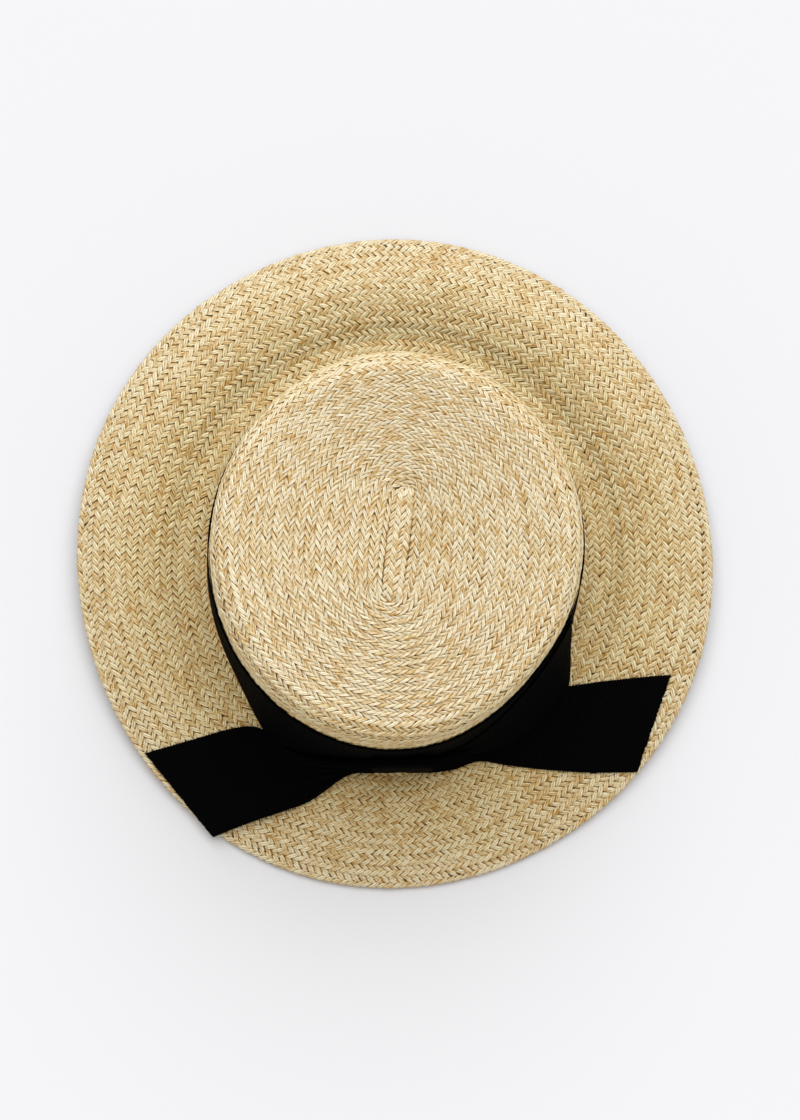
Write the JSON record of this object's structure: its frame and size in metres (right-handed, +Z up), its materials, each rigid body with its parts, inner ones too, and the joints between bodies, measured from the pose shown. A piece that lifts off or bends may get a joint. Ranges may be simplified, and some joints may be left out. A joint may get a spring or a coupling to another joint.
{
  "type": "straw sun hat",
  "caption": "Wide-brimmed sun hat of sewn straw plait with a low flat crown, a ribbon hatband and a flat bow whose tails lie on the brim.",
  "frame": {"origin": "under the middle of the brim, at the height of the surface that the brim rests on", "axes": "+Z up through the crown, -Y towards the front, where the bow is, +X towards the end of the longer straight tail, to the right as the bow is faced from above"},
  "size_m": [0.3023, 0.311, 0.098],
  "materials": {
    "straw": "matte",
    "ribbon": "matte",
    "sweatband": "matte",
    "straw_thread": "satin",
    "black_thread": "satin"
  },
  "bodies": {
    "hat": {"plait_start_strip": "straw", "crown_top": "straw", "crown_shoulder": "straw", "crown_side": "straw", "brim": "straw", "brim_edge_row": "straw", "brim_seam_thread": "straw_thread", "sweatband": "sweatband", "sweatband_join_tab": "sweatband", "sweatband_seam_thread": "black_thread", "hatband": "ribbon", "knot_wrap": "ribbon", "knot_core": "ribbon", "left_gather": "ribbon", "right_gather": "ribbon", "left_tail_root": "ribbon", "right_tail_root": "ribbon", "band_tack_back": "black_thread", "band_tack_left": "black_thread", "band_tack_right": "black_thread"},
    "left_tail_end": {"left_tail": "ribbon"},
    "right_tail_end": {"right_tail": "ribbon"}
  },
  "joints": [
    {"name": "left_tail_lift", "type": "hinge", "parent": "hat", "child": "left_tail_end", "pos_m": [-0.06675, -0.09715, 0.01283], "axis": [-0.3369, 0.9363, 0.0987], "range_deg": [0, 75]},
    {"name": "right_tail_lift", "type": "hinge", "parent": "hat", "child": "right_tail_end", "pos_m": [0.08225, -0.0785, 0.01403], "axis": [-0.0866, -0.9941, -0.0655], "range_deg": [0, 75]}
  ]
}
